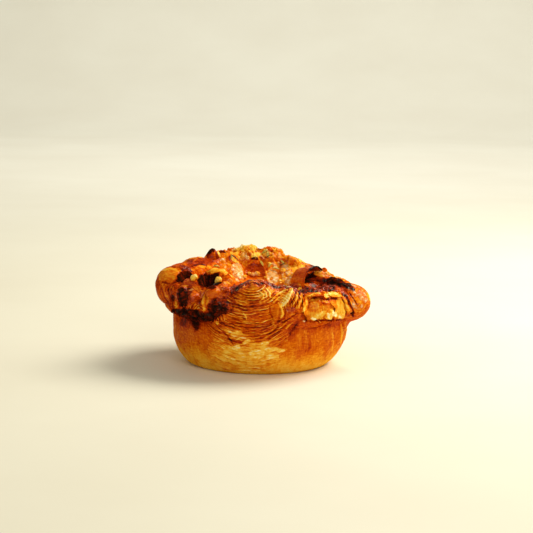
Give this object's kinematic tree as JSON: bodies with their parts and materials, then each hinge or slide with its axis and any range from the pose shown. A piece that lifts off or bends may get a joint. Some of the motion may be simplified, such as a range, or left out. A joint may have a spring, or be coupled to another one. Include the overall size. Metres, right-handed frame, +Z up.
{
  "type": "danish pastry",
  "caption": "Savoury laminated Danish pastry baked in a round tin: a flared cup with a folded, swirled crown round a dished, blistered filling with herb leaves.",
  "frame": {"origin": "middle of the bounding box's base, on the flat base of the pastry", "axes": "+Z up; -Y is the front, where the cut ends of the roll show; +X to the right seen from the front"},
  "size_m": [0.1091, 0.1039, 0.0544],
  "materials": {
    "dough": "baked, glazed laminated dough, golden to dark brown with charred edges",
    "filling": "blistered, glossy baked cheese, cream to orange"
  },
  "bodies": {
    "root": {"dough": "dough", "filling": "filling"}
  },
  "joints": []
}
